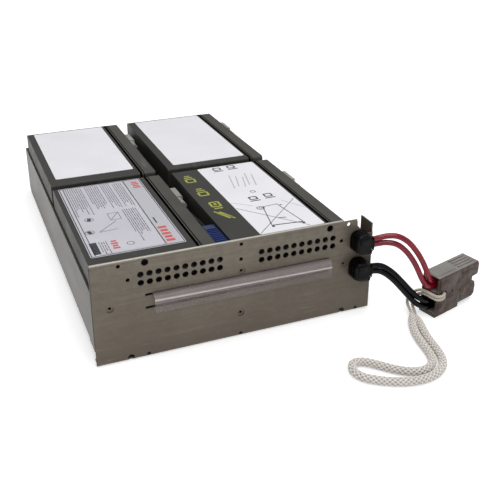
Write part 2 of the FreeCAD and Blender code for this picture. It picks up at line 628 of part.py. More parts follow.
for item in doc.Objects:
    if "Invalid" in item.State or "Error" in item.State:
        raise RuntimeError(f"{item.Label} failed: {item.State}")
os.makedirs("parts", exist_ok=True)
for item in parts:
    if item.Shape.isNull() or not item.Shape.isValid():
        raise RuntimeError(f"{item.Label} has no valid shape")
    item.Shape.exportStep(f"parts/{item.Label}.step")
bodies = Part.makeCompound([item.Shape for item in parts])
print(f"{len(parts)} sub-parts, box {bodies.BoundBox}")
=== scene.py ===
"""Looks of a rack power supply's battery cartridge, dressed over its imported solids, in metres.

The tray and all that is fixed in it lie nose up by TILT, because the panel reaches below the tray's
floor. Pieces of the tray are modelled square to the panel: x along it from its middle, y back from
its outer face, z up from its lower edge. LAID then puts them in their place. The connector's pieces
are modelled square to its housing, and PLUGGED puts them in theirs.
"""

import bpy
import math
import random
from mathutils import Matrix, Vector
from mathutils.kdtree import KDTree


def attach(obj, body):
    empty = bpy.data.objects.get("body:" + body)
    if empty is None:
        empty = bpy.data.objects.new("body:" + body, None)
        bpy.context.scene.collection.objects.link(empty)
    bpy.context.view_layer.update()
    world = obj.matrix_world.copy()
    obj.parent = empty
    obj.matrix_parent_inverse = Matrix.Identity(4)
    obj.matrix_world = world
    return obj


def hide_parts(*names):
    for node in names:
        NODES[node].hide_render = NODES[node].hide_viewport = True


bl_info = {
    "name": "Battery Cartridge",
    "version": (1, 0, 0),
    "blender": (4, 5, 0),
    "location": "View3D > Sidebar > Cartridge",
    "description": "Dresses a rack power supply's battery cartridge",
    "category": "Add Mesh",
}

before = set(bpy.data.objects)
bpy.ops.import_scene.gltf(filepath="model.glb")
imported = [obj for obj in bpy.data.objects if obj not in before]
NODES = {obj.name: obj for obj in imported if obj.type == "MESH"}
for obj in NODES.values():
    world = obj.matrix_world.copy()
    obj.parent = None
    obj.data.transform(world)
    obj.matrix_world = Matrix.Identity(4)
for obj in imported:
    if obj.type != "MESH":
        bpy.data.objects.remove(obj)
bpy.ops.object.select_all(action="DESELECT")

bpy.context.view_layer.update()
MM = 0.001

# ---------------------------------------------------------------- places

FOOT_LIP = 10 * MM
FLOOR_DROP = 12.8 * MM
RAMP_START = 315.5 * MM
CENTRE = 162.26 * MM
TILT = math.atan2(FLOOR_DROP, RAMP_START - FOOT_LIP)
PIVOT = Vector((0, FOOT_LIP, 0))
PANEL_TOP = 82 * MM
LAID_RISE = math.sin(TILT) * (FOOT_LIP - CENTRE)
LAID_SHIFT = math.cos(TILT) * (FOOT_LIP - CENTRE) - FOOT_LIP
OUTER_WALL = -112.6 * MM
LAID = (Matrix.Translation(PIVOT - Vector((0, CENTRE, 0))) @ Matrix.Rotation(-TILT, 4, "X")
        @ Matrix.Translation(-PIVOT))
PLUGGED = (Matrix.Translation(Vector((154.3, -195.0, 0)) * MM)
           @ Matrix.Rotation(math.radians(15.8), 4, "Z"))

COLUMNS = {"left": -111.4 * MM, "right": -5.4 * MM}
ROWS = {"front": 4.1 * MM, "rear": 164.1 * MM}
SPOTS = [(f"{row}_{side}", COLUMNS[side], ROWS[row]) for row in ROWS for side in COLUMNS]
BATTERY_TOP = 80 * MM
STRAP_FOLD = 47.3 * MM
STRAP_HALF = 74 * MM
RELIEF_X = 98.8 * MM
RELIEF_HEIGHTS = {"upper": 64 * MM, "lower": 40.4 * MM}
DARKENING_HEIGHT = 66 * MM
FLOOR_GLOW = 0.45
SMOOTH_ANGLE = math.radians(35)
EDGE_ANGLE = math.radians(40)

# Print: the thickness of the ink, and the pitch and width of the dashed rows, in millimetres.
INK_GAUGE = 0.06
PRINT_PITCH = 1.75
PRINT_WEIGHT = 0.62
PRINT_SEED = 4


# ---------------------------------------------------------------- settings

def colour(name, description, value):
    return bpy.props.FloatVectorProperty(name=name, description=description, default=value,
                                         size=3, min=0, max=1, subtype="COLOR_GAMMA")


def length(name, description, millimetres):
    return bpy.props.FloatProperty(name=name, description=description, default=millimetres * MM,
                                   min=0, unit="LENGTH", precision=5)


class CartridgeSizes(bpy.types.PropertyGroup):
    cell_length: length("Battery length", "Each battery, front to back", 151)
    cell_width: length("Battery width", "Each battery, with its lid", 94)
    cell_height: length("Battery height", "Each battery, lying on its broad side", 65)
    lid_depth: length("Lid depth", "Lid at the right end of each battery", 13.5)
    lead_bore: length("Lead diameter", "Insulated lead", 4.5)
    tie_bore: length("Tie cord diameter", "Thin twisted cord tied to the connector", 2.6)
    sleeve_bore: length("Sleeve diameter", "Braided sleeve that a hand pulls", 6.8)
    sleeve_tip: length("Sleeve tip diameter", "Where the sleeve closes on the thin cord", 4.6)
    plug_depth: length("Connector depth", "Connector through both poles", 15.9)
    plug_height: length("Connector height", "Connector standing on its narrow side", 36.5)


class CartridgeColours(bpy.types.PropertyGroup):
    zinc: colour("Zinc", "Galvanised sheet", (0.475, 0.445, 0.40))
    zinc_dark: colour("Dark zinc", "Darker grains of the sheet", (0.40, 0.37, 0.325))
    case: colour("Case", "Battery cases", (0.235, 0.23, 0.215))
    lid: colour("Lid", "Battery lids", (0.305, 0.295, 0.27))
    paper: colour("Paper", "Plain labels", (0.925, 0.92, 0.935))
    ink: colour("Ink", "Dark print", (0.16, 0.16, 0.18))
    accent: colour("Accent", "Red print", (0.78, 0.33, 0.32))
    leaf: colour("Leaf", "Yellow-green marks on the case", (0.63, 0.64, 0.25))
    red_lead: colour("Red lead", "Insulation of the positive leads", (0.47, 0.0, 0.11))
    black_lead: colour("Black lead", "Insulation of the negative leads", (0.01, 0.01, 0.012))
    housing: colour("Housing", "Connector housing", (0.60, 0.585, 0.565))
    braid: colour("Braid", "Braided sleeve", (0.975, 0.955, 0.935))
    tie: colour("Tie cord", "Thin twisted cord", (0.92, 0.885, 0.83))
    nylon: colour("Nylon", "Terminal boots", (0.66, 0.66, 0.63))
    fuse: colour("Fuse holder", "Moulded fuse holders", (0.09, 0.18, 0.42))
    tin: colour("Tin", "Terminals and contacts", (0.78, 0.74, 0.64))


class CartridgeStudio(bpy.types.PropertyGroup):
    station: bpy.props.FloatVectorProperty(
        name="Camera", description="Camera position", default=(-0.1897, -0.6173, 0.3521),
        size=3, unit="LENGTH", subtype="TRANSLATION")
    turn: bpy.props.FloatProperty(name="Turn", description="Camera azimuth", subtype="ANGLE",
                                  default=math.radians(-21.72))
    rise: bpy.props.FloatProperty(name="Rise", description="Camera above the horizon",
                                  subtype="ANGLE", default=math.radians(25.27))
    roll: bpy.props.FloatProperty(name="Roll", description="Camera roll", subtype="ANGLE",
                                  default=math.radians(0.56))
    focal: bpy.props.FloatProperty(name="Focal length", description="Camera focal length",
                                   default=55.48, min=10, unit="CAMERA")
    shift: bpy.props.FloatVectorProperty(name="Shift", description="Camera shift", size=2,
                                         default=(0.035, -0.1076))
    daylight: bpy.props.FloatProperty(name="Daylight", description="Strength of the world",
                                      default=0.42, min=0)


# ---------------------------------------------------------------- shader helpers

def tone(display):
    """Turn a display colour into the linear one that a shader takes."""
    return [c / 12.92 if c <= 0.04045 else ((c + 0.055) / 1.055) ** 2.4 for c in display] + [1.0]


def shifted(base, by=1.0, more=0.0):
    """A display colour made lighter or darker."""
    return [min(1, c * by + more) for c in base]


def new_tree(name):
    """The node tree of a new material."""
    material = bpy.data.materials.new(name)
    material.use_nodes = True
    return material.node_tree


def give(place, value):
    """Give an input a value, or a socket to follow."""
    if isinstance(value, bpy.types.NodeSocket):
        place.id_data.links.new(value, place)
    else:
        place.default_value = value


def feed(node, **inputs):
    """Give a node its inputs by name."""
    for name, value in inputs.items():
        give(node.inputs[name.replace("_", " ")], value)
    return node


def add(tree, kind, **inputs):
    """Add a node and give it its inputs."""
    return feed(tree.nodes.new(kind), **inputs)


def coat(tree, **inputs):
    """Give inputs to a material's Principled shader."""
    feed(tree.nodes["Principled BSDF"], **inputs)


def coated(tree):
    """The socket that a material's base colour follows now."""
    return tree.nodes["Principled BSDF"].inputs["Base Color"].links[0].from_socket


def calculated(operation, first, second=0.0):
    """A Math node on a socket and a second value, which may be a socket too."""
    node = first.id_data.nodes.new("ShaderNodeMath")
    node.operation = operation
    for place, value in zip(node.inputs, (first, second)):
        give(place, value)
    return node.outputs[0]


def plus(first, second):
    return calculated("ADD", first, second)


def times(first, second):
    return calculated("MULTIPLY", first, second)


def larger(first, second):
    return calculated("MAXIMUM", first, second)


def ranged(value, low, high, new_low=0.0, new_high=1.0):
    """Map a socket's value from one range to another."""
    return add(value.id_data, "ShaderNodeMapRange", Value=value, From_Min=low, From_Max=high,
               To_Min=new_low, To_Max=new_high).outputs["Result"]


def blended(factor, low, high):
    """A colour between low and high by a factor socket. Either is a display colour or a socket."""
    node = factor.id_data.nodes.new("ShaderNodeMix")
    node.data_type = "RGBA"
    give(node.inputs["Factor"], factor)
    for name, value in (("A", low), ("B", high)):
        place = [s for s in node.inputs if s.name == name and s.type == "RGBA"][0]
        give(place, value if isinstance(value, bpy.types.NodeSocket) else tone(value))
    return [s for s in node.outputs if s.type == "RGBA"][0]


def noise(where, scale, detail, **more):
    """Noise at a place socket."""
    return add(where.id_data, "ShaderNodeTexNoise", Vector=where, Scale=scale, Detail=detail,
               **more).outputs["Fac"]


def unlaid(tree):
    """Object coordinates."""
    return tree.nodes.new("ShaderNodeTexCoord").outputs["Object"]


def laid(tree, stretch=(1, 1, 1)):
    """Object coordinates turned square to the tray, then stretched."""
    turned = add(tree, "ShaderNodeMapping", Vector=unlaid(tree), Rotation=(TILT, 0, 0))
    return add(tree, "ShaderNodeMapping", Vector=turned.outputs["Vector"],
               Scale=stretch).outputs["Vector"]


def part_of(where, axis):
    """One coordinate of a place socket."""
    return add(where.id_data, "ShaderNodeSeparateXYZ", Vector=where).outputs[axis]


def bump(height, strength, distance):
    return add(height.id_data, "ShaderNodeBump", Height=height, Strength=strength,
               Distance=distance).outputs["Normal"]


def group(name, sockets):
    """A node group's input and output nodes. Each socket is (name, IN or OUT, kind, default)."""
    made = bpy.data.node_groups.new(name, "ShaderNodeTree")
    for label, way, kind, default in sockets:
        socket = made.interface.new_socket(name=label, in_out=way + "PUT",
                                           socket_type="NodeSocket" + kind)
        if default is not None:
            socket.default_value = default
    return made.nodes.new("NodeGroupInput"), made.nodes.new("NodeGroupOutput")


def placed(name, where, **inputs):
    """Put a shared node group at a place socket."""
    node = where.id_data.nodes.new("ShaderNodeGroup")
    node.node_tree = bpy.data.node_groups[name]
    return feed(node, Vector=where, **inputs).outputs


def grain_group():
    """Fine moulded grain with slow shade changes."""
    given, result = group("Moulded Grain", [
        ("Vector", "IN", "Vector", None), ("Scale", "IN", "Float", 900.0),
        ("Height", "OUT", "Float", None), ("Cloud", "OUT", "Float", None)])
    where = given.outputs["Vector"]
    feed(result, Height=noise(where, given.outputs["Scale"], 3.0),
         Cloud=ranged(noise(where, 38.0, 5.0), 0.3, 0.7))


def rub_group():
    """Light rubs and scratches, drawn out along one axis."""
    given, result = group("Rub Marks", [
        ("Vector", "IN", "Vector", None), ("Amount", "IN", "Float", 0.3),
        ("Mask", "OUT", "Float", None)])
    where = given.outputs["Vector"]
    streaks = ranged(noise(where, 120.0, 6.0), 0.60, 0.74)
    patches = ranged(noise(where, 14.0, 3.0), 0.45, 0.65)
    feed(result, Mask=times(times(streaks, patches), given.outputs["Amount"]))


def spangle_group():
    """Flat zinc crystals, each a little lighter or darker than its neighbours."""
    given, result = group("Zinc Spangle", [
        ("Vector", "IN", "Vector", None), ("Scale", "IN", "Float", 240.0),
        ("Shade", "OUT", "Float", None)])
    where = given.outputs["Vector"]
    tree = where.id_data
    warp = add(tree, "ShaderNodeTexNoise", Vector=where, Scale=160.0, Detail=2.0)
    bent = tree.nodes.new("ShaderNodeVectorMath")
    bent.operation = "MULTIPLY_ADD"
    for place, value in zip(bent.inputs, (warp.outputs["Color"], (0.004, 0.004, 0.004), where)):
        give(place, value)
    cells = add(tree, "ShaderNodeTexVoronoi", Vector=bent.outputs[0], Scale=given.outputs["Scale"])
    split = add(tree, "ShaderNodeSeparateColor", Color=cells.outputs["Color"])
    feed(result, Shade=split.outputs["Red"])


# ---------------------------------------------------------------- finishes

ZINC_STAIN = (0.36, 0.325, 0.27)
ZINC_TOWARDS_FLOOR = (0.335, 0.295, 0.25)
ZINC_OUTER_SHADE = (0.29, 0.26, 0.225)
ZINC_RUB = (0.56, 0.55, 0.52)
ZINC_LIP_HIGHLIGHT = (0.72, 0.71, 0.67)
FILM_DULL = (0.53, 0.49, 0.48)
FILM_PALE = (0.63, 0.59, 0.585)
FILM_FOLD_HIGHLIGHT = (0.90, 0.87, 0.86)
FOAM_HOLLOW_SHADE = (0.06, 0.06, 0.06)
FOAM_WALL = (0.17, 0.17, 0.17)
CASE_SHADE = (0.05, 0.045, 0.045)
FUSE_SHADE = (0.02, 0.03, 0.06)
CONNECTOR_SIDE_SHADE = (0.22, 0.135, 0.09)


def zinc_finish(hues):
    """Galvanised sheet: faint spangle, rolling streaks, dull patches, rubs and a painted lip
    highlight.

    It grows darker towards the floor, and painted shade covers the left wall's outer face.
    """
    tree = new_tree("galvanised_sheet")
    where = laid(tree)
    height = part_of(where, "Z")
    spangle = placed("Zinc Spangle", where, Scale=330.0)["Shade"]
    streaks = noise(laid(tree, (5, 5, 150)), 3.0, 7.0, Roughness=0.6)
    upright = noise(laid(tree, (60, 60, 5)), 2.0, 5.0)
    stain = noise(laid(tree, (1, 0.6, 1.6)), 9.0, 7.0, Roughness=0.62)
    rubs = placed("Rub Marks", laid(tree, (0.25, 0.25, 2.5)), Amount=0.5)["Mask"]
    light = plus(plus(times(spangle, 0.16), times(upright, 0.18)), times(streaks, 0.66))
    clean = blended(ranged(light, 0.32, 0.68), hues.zinc_dark, hues.zinc)
    stained = blended(ranged(stain, 0.46, 0.80, 0.0, 0.45), clean, ZINC_STAIN)
    # Darker towards the floor, in patches.
    low = times(ranged(height, 0, DARKENING_HEIGHT, 0.85, 0.15), ranged(stain, 0.3, 0.7, 0.7, 1.0))
    # Painted shade on the left wall's outer face.
    outer = ranged(part_of(where, "X"), OUTER_WALL, OUTER_WALL + 0.5 * MM, 1.0, 0.0)
    darkened = blended(larger(low, outer), stained, blended(outer, ZINC_TOWARDS_FLOOR, ZINC_OUTER_SHADE))
    rubbed = blended(rubs, darkened, ZINC_RUB)
    # Painted highlight along the panel's top lip.
    lip = (PANEL_TOP - 0.5 * MM) + LAID_RISE
    coat(tree, Base_Color=blended(ranged(height, lip, lip + 0.4 * MM), rubbed, ZINC_LIP_HIGHLIGHT),
         Metallic=0.36, Roughness=ranged(stain, 0.3, 0.75, 0.36, 0.50),
         Normal=bump(light, 0.10, 0.0002))


def plastic_finish(name, base, roughness, lift, grain=950.0, depth=0.22, gloss=0.28):
    """Moulded plastic with grain, slow shade changes and light rubs. lift is how strong they are."""
    tree = new_tree(name)
    grains = placed("Moulded Grain", laid(tree), Scale=grain)
    rubs = placed("Rub Marks", laid(tree, (1, 0.2, 1)), Amount=lift)["Mask"]
    cloud = blended(grains["Cloud"], shifted(base, 0.86), shifted(base, 1.07))
    speckled = blended(ranged(grains["Height"], 0.35, 0.65, 0.0, 0.5), cloud, shifted(base, 0.72))
    coat(tree, Base_Color=blended(rubs, speckled, shifted(base, more=0.25)),
         Roughness=ranged(grains["Cloud"], 0, 1, roughness - 0.06, roughness + 0.06),
         Specular_IOR_Level=gloss, Normal=bump(grains["Height"], depth, 0.0002))
    return tree


def side_shaded(tree, painted_shade, facing_up):
    """Paint shade in patches on a finish's sides, while the faces that look up stay light."""
    here = tree.nodes.new("ShaderNodeTexCoord")
    up = part_of(here.outputs["Normal"], "Z")
    patches = ranged(noise(here.outputs["Object"], 150.0, 6.0), 0.36, 0.58, 0.75, 1.0)
    amount = times(ranged(up, 0.2, 0.85, 1.0, facing_up), patches)
    coat(tree, Base_Color=blended(amount, coated(tree), painted_shade))


def sunken(tree, axis, start, stop, deep):
    """Darken a finish from one laid place to another, where little light gets in."""
    shown = ranged(part_of(laid(tree), axis), stop, start)
    coat(tree, Base_Color=blended(shown, deep, coated(tree)))


def paper_finish(name, base, mottle):
    """Coated paper: nearly flat, faintly mottled, with slow waves where it was smoothed down."""
    tree = new_tree(name)
    where = laid(tree)
    wave = noise(where, 26.0, 2.0)
    both = plus(times(noise(where, 420.0, 4.0), 0.4), times(wave, 0.6))
    coat(tree, Base_Color=blended(ranged(both, 0.35, 0.65), shifted(base, more=-mottle), base),
         Roughness=ranged(wave, 0.3, 0.7, 0.34, 0.46), Normal=bump(both, 0.08, 0.0003))


def ink_finish(name, base):
    """Print that is a little worn, so the paper's tone comes through in specks."""
    tree = new_tree(name)
    speck = ranged(noise(laid(tree), 1400.0, 2.0), 0.5, 0.75, 0, 0.5)
    coat(tree, Base_Color=blended(speck, base, shifted(base, 0.6, 0.36)), Roughness=0.5)


def film_finish():
    """Clear film gone lilac-grey: hazy above the fold, a painted highlight along the fold, clearer
    below.
    """
    tree = new_tree("clear_film")
    where = laid(tree)
    haze = noise(laid(tree, (1, 1, 3)), 24.0, 4.0)
    fold = STRAP_FOLD + LAID_RISE
    crease = ranged(part_of(where, "X"), -STRAP_HALF, STRAP_HALF, fold + 2.4 * MM, fold + 0.4 * MM)
    above = calculated("SUBTRACT", part_of(where, "Z"), crease)
    # Painted highlight along the fold; the film is a little more opaque there too.
    line = ranged(calculated("ABSOLUTE", above), 0.2 * MM, 1.0 * MM, 1.0, 0.0)
    upper = ranged(above, -5.0 * MM, -1.0 * MM)
    cover = plus(ranged(upper, 0, 1, 0.12, 0.44), ranged(haze, 0.3, 0.7, -0.04, 0.06))
    coat(tree, Base_Color=blended(line, blended(haze, FILM_DULL, FILM_PALE), FILM_FOLD_HIGHLIGHT),
         Alpha=larger(cover, times(line, 0.62)), Roughness=0.32, Normal=bump(haze, 0.05, 0.0006))


def foam_finish():
    """Open-cell foam, with painted shade in the hollows of its cells."""
    tree = new_tree("open_cell_foam")
    cells = add(tree, "ShaderNodeTexVoronoi", Vector=laid(tree), Scale=1400.0).outputs["Distance"]
    # Painted shade in the cells' hollows.
    coat(tree, Base_Color=blended(cells, FOAM_HOLLOW_SHADE, FOAM_WALL), Roughness=0.95,
         Normal=bump(cells, 0.7, 0.0005))


def insulation_finish(name, base, gloss):
    """Extruded insulation: glossy, with a faint waxy bloom in patches."""
    tree = new_tree(name)
    here = unlaid(tree)
    bloom = noise(here, 90.0, 4.0)
    coat(tree, Base_Color=blended(ranged(bloom, 0.35, 0.75), base, shifted(base, 1.15, 0.004)),
         Roughness=ranged(bloom, 0.3, 0.7, 0.20, 0.32), Specular_IOR_Level=gloss,
         Normal=bump(noise(here, 520.0, 2.0), 0.06, 0.0003))


def metal_finish(base):
    """Tinned brass and copper alloy, slightly tarnished."""
    tree = new_tree("tinned_metal")
    cloud = noise(unlaid(tree), 260.0, 5.0)
    coat(tree, Base_Color=blended(cloud, shifted(base, 0.72), base), Metallic=1.0,
         Roughness=ranged(cloud, 0.3, 0.7, 0.24, 0.42))


def yarn_finish(name, base, deep, hollow_shade):
    """Yarn: fine fibres, with painted shade in the hollows between the strands, and a soft sheen."""
    tree = new_tree(name)
    here = unlaid(tree)
    fibre = noise(here, 2600.0, 4.0)
    # Painted shade: the colour turns to the hollow shade where the yarn lies deep in the cord.
    rise = tree.nodes.new("ShaderNodeAttribute")
    rise.attribute_name = "rise"
    soil = ranged(noise(here, 70.0, 5.0), 0.5, 0.8, 0, 0.3)
    darkened = blended(soil, blended(ranged(fibre, 0.35, 0.65), deep, base), deep)
    coat(tree, Base_Color=blended(rise.outputs["Fac"], hollow_shade, darkened), Roughness=0.8,
         Sheen_Weight=0.25, Normal=bump(fibre, 0.4, 0.0002))


# ---------------------------------------------------------------- modelling helpers

def only(*pieces):
    """Select just these objects, the first of them active."""
    bpy.ops.object.select_all(action="DESELECT")
    for piece in pieces:
        piece.select_set(True)
    bpy.context.view_layer.objects.active = pieces[0]


def keep_place():
    """Keep the active object's place in its mesh."""
    bpy.ops.object.transform_apply(location=True, rotation=True, scale=True)
    return bpy.context.object


def block(low, high, rounding, steps=2, axis=None):
    """A box between two corners, in millimetres, with all its edges, or an axis's, bevelled."""
    size = [(b - a) * MM for a, b in zip(low, high)]
    middle = [(a + b) * MM / 2 for a, b in zip(low, high)]
    bpy.ops.mesh.primitive_cube_add(size=1, location=middle, scale=size)
    piece = keep_place()
    bpy.ops.object.mode_set(mode="EDIT")
    bpy.ops.mesh.select_mode(type="EDGE")
    bpy.ops.mesh.select_all(action="SELECT")
    if axis is not None:
        bpy.ops.mesh.select_all(action="DESELECT")
        bpy.ops.object.mode_set(mode="OBJECT")
        for edge in piece.data.edges:
            near, far = (piece.data.vertices[v].co for v in edge.vertices)
            edge.select = abs(near[axis] - far[axis]) > 0.1 * MM
        bpy.ops.object.mode_set(mode="EDIT")
    bpy.ops.mesh.bevel(offset=rounding * MM, segments=steps, affect="EDGES")
    bpy.ops.object.mode_set(mode="OBJECT")
    return piece


def assembled(name, pieces, place, material, smooth=True):
    """Join pieces into one, put it in its place by a matrix and dress it."""
    only(*pieces)
    if len(pieces) > 1:
        bpy.ops.object.join()
    piece = bpy.context.object
    piece.name = piece.data.name = name
    piece.matrix_world = place @ piece.matrix_world
    dress(keep_place(), material, smooth)


def softened(name, node, width, steps=2):
    """A merged copy of a CAD node with its sharp edges bevelled by a width in millimetres."""
    piece = NODES[node].copy()
    piece.data = NODES[node].data.copy()
    piece.parent = None
    piece.matrix_world = NODES[node].matrix_world
    bpy.context.collection.objects.link(piece)
    piece.name = piece.data.name = name
    only(piece)
    bpy.ops.object.mode_set(mode="EDIT")
    bpy.ops.mesh.select_all(action="SELECT")
    bpy.ops.mesh.remove_doubles(threshold=0.01 * MM)
    bpy.ops.mesh.dissolve_limited(angle_limit=math.radians(1))
    bpy.ops.object.mode_set(mode="OBJECT")
    keep_place()
    modifier = piece.modifiers.new("Edges", "BEVEL")
    modifier.width = width * MM
    modifier.segments = steps
    modifier.limit_method = "ANGLE"
    modifier.angle_limit = EDGE_ANGLE
    bpy.ops.object.modifier_apply(modifier=modifier.name)
    return piece


def dress(piece, material, smooth=True):
    """Give a finished piece its material, and let it ride on the cartridge."""
    piece.data.materials.clear()
    piece.data.materials.append(bpy.data.materials[material])
    if smooth and piece.type == "MESH":
        only(piece)
        bpy.ops.object.shade_smooth_by_angle(angle=SMOOTH_ANGLE)
    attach(piece, "root")


def repaint(finishes):
    """Give CAD nodes their finishes, by how their names start."""
    for start, material in finishes.items():
        for node in (NODES[name] for name in NODES if name.startswith(start)):
            for place in node.material_slots:
                place.material = bpy.data.materials[material]


class CartridgeStep:
    """What every operator here shares."""
    bl_options = {"REGISTER", "UNDO"}


# ---------------------------------------------------------------- operators

class CARTRIDGE_OT_finishes(CartridgeStep, bpy.types.Operator):
    """Make the shared node groups and every material"""
    bl_idname = "cartridge.finishes"
    bl_label = "Finishes"

    def execute(self, context):
        hues = context.scene.cartridge_colours
        grain_group()
        rub_group()
        spangle_group()
        zinc_finish(hues)
        panel_back = ROWS["front"] + LAID_SHIFT
        for tree in (plastic_finish("grained_case", hues.case, 0.50, 0.25),
                     plastic_finish("grained_lid", hues.lid, 0.46, 0.35)):
            sunken(tree, "Y", panel_back + 0.8 * MM, panel_back + 0.3 * MM, CASE_SHADE)
        sunken(plastic_finish("blue_moulding", hues.fuse, 0.30, 0.2, 500.0, 0.06),
               "Z", 74 * MM, 66 * MM, FUSE_SHADE)
        # Painted shade, brownish and in patches, on the connector's sides.
        side_shaded(plastic_finish("grey_moulding", hues.housing, 0.52, 0.3, 1100.0, 0.2),
               CONNECTOR_SIDE_SHADE, 0.12)
        plastic_finish("milky_nylon", hues.nylon, 0.36, 0.1, 500.0, 0.08)
        plastic_finish("black_nylon", (0.015, 0.013, 0.015), 0.38, 0.02, gloss=0.14)
        # Black with no gloss: the painted shade of the lid seams' grooves.
        plastic_finish("seam_shade_black", (0.01, 0.01, 0.01), 0.9, 0.0, gloss=0.0)
        paper_finish("plain_paper", hues.paper, 0.02)
        paper_finish("printed_paper", (0.79, 0.78, 0.81), 0.03)
        for name, base in {"dark": hues.ink, "grey": (0.31, 0.31, 0.35), "pale": (0.72, 0.72, 0.74),
                           "red": hues.accent, "leaf": hues.leaf}.items():
            ink_finish(name + "_ink", base)
        film_finish()
        foam_finish()
        insulation_finish("red_cover", hues.red_lead, 0.5)
        insulation_finish("black_cover", hues.black_lead, 0.2)
        metal_finish(hues.tin)
        # The last colour of each yarn finish is the painted shade of its hollows.
        yarn_finish("braid_yarn", hues.braid, (0.89, 0.86, 0.83), (0.50, 0.46, 0.42))
        yarn_finish("tie_yarn", hues.tie, (0.76, 0.71, 0.64), (0.40, 0.36, 0.29))
        return {"FINISHED"}


class CARTRIDGE_OT_tray(CartridgeStep, bpy.types.Operator):
    """Finish the folded tray, its film strap and the foam"""
    bl_idname = "cartridge.tray"
    bl_label = "Tray"

    def execute(self, context):
        repaint({"tray": "galvanised_sheet", "handle_strap": "clear_film", "spacer": "open_cell_foam",
                 "rear_pad": "open_cell_foam", "adhesive_pad": "open_cell_foam"})
        return {"FINISHED"}


class CARTRIDGE_OT_batteries(CartridgeStep, bpy.types.Operator):
    """Finish cases, lids, terminals and boots, and add the welded seam of each lid"""
    bl_idname = "cartridge.batteries"
    bl_label = "Batteries"

    def execute(self, context):
        sizes = context.scene.cartridge_sizes
        repaint({"battery_case": "grained_case", "battery_lid": "grained_lid",
                 "vent_covers": "grained_lid", "terminals": "tinned_metal",
                 "terminal_boot": "milky_nylon"})
        top = BATTERY_TOP / MM
        floor = top - sizes.cell_height / MM
        for spot, column, row in SPOTS:
            x = (column + sizes.cell_width - sizes.lid_depth) / MM
            y = row / MM
            self.seam(spot, x, (y, y + sizes.cell_length / MM), (floor, top))
        return {"FINISHED"}

    def seam(self, spot, x, along, upright):
        """A bead of weld flash round the battery where lid meets case, painted black as its groove's
        shade.
        """
        proud, crest = 0.18, 2.1
        front, floor = along[0] - proud, upright[0] - proud
        back, top = along[1] + proud, upright[1] + proud
        beads = [block((x + near, front, floor), (x + far, back, top), crest, 4, axis=0)
                 for near, far in ((-0.6, 1.4), (2.6, 3.3))]
        assembled("lid_seam_" + spot, beads, LAID, "seam_shade_black")


# ---------------------------------------------------------------- print

def printed(name, ink, marks, top):
    """Flat print on a surface at top. Each mark is (x, y, width, length, turn in degrees), in mm."""
    bpy.ops.mesh.primitive_cube_add(size=1, location=(0, 0, -1), scale=(MM, MM, MM))
    piece = keep_place()
    bpy.ops.object.mode_set(mode="EDIT")
    bpy.ops.mesh.delete(type="VERT")
    for x, y, width, extent, turn in marks:
        bpy.ops.mesh.primitive_cube_add(size=1, location=(x * MM, y * MM, top + INK_GAUGE * MM / 2),
                                        rotation=(0, 0, math.radians(turn)),
                                        scale=(width * MM, extent * MM, INK_GAUGE * MM))
    bpy.ops.object.mode_set(mode="OBJECT")
    assembled(name, [piece], LAID, ink, smooth=False)


def printed_rings(name, ink, rings, top):
    """Ring marks on a surface at top. Each is (x, y, radius, line), in millimetres."""
    pieces = []
    middle = top + INK_GAUGE * MM / 2
    for x, y, radius, line in rings:
        bpy.ops.mesh.primitive_torus_add(location=(x * MM, y * MM, middle),
                                         major_radius=radius * MM, minor_radius=line * MM / 2,
                                         major_segments=32, minor_segments=6)
        ring = keep_place()
        flat = INK_GAUGE / line
        ring.scale = (1, 1, flat)
        ring.location.z = middle * (1 - flat)
        pieces.append(keep_place())
    assembled(name, pieces, LAID, ink)


def text_rows(chance, x_first, x_last, y_first, y_last):
    """Rows of short dashes that stand for small print, each row along y."""
    marks = []
    x = x_first
    while x <= x_last:
        y = y_last - chance.uniform(0, 1.5)
        stop = y_first + chance.uniform(0, (y_last - y_first) * 0.35)
        while y > stop:
            dash = chance.uniform(1.2, 5.2)
            marks.append((x, y - dash / 2, PRINT_WEIGHT, dash, 0))
            y -= dash + chance.uniform(0.6, 1.1)
        x += PRINT_PITCH
    return marks


def outline_marks(x0, x1, y0, y1, line):
    """Four thin bars round a rectangle."""
    return [((x0 + x1) / 2, y0, x1 - x0, line, 0), ((x0 + x1) / 2, y1, x1 - x0, line, 0),
            (x0, (y0 + y1) / 2, line, y1 - y0, 0), (x1, (y0 + y1) / 2, line, y1 - y0, 0)]


def stroke(x0, y0, x1, y1, line):
    """A thin bar from one point to another."""
    turn = math.degrees(math.atan2(y1 - y0, x1 - x0)) - 90
    return ((x0 + x1) / 2, (y0 + y1) / 2, line, math.hypot(x1 - x0, y1 - y0), turn)


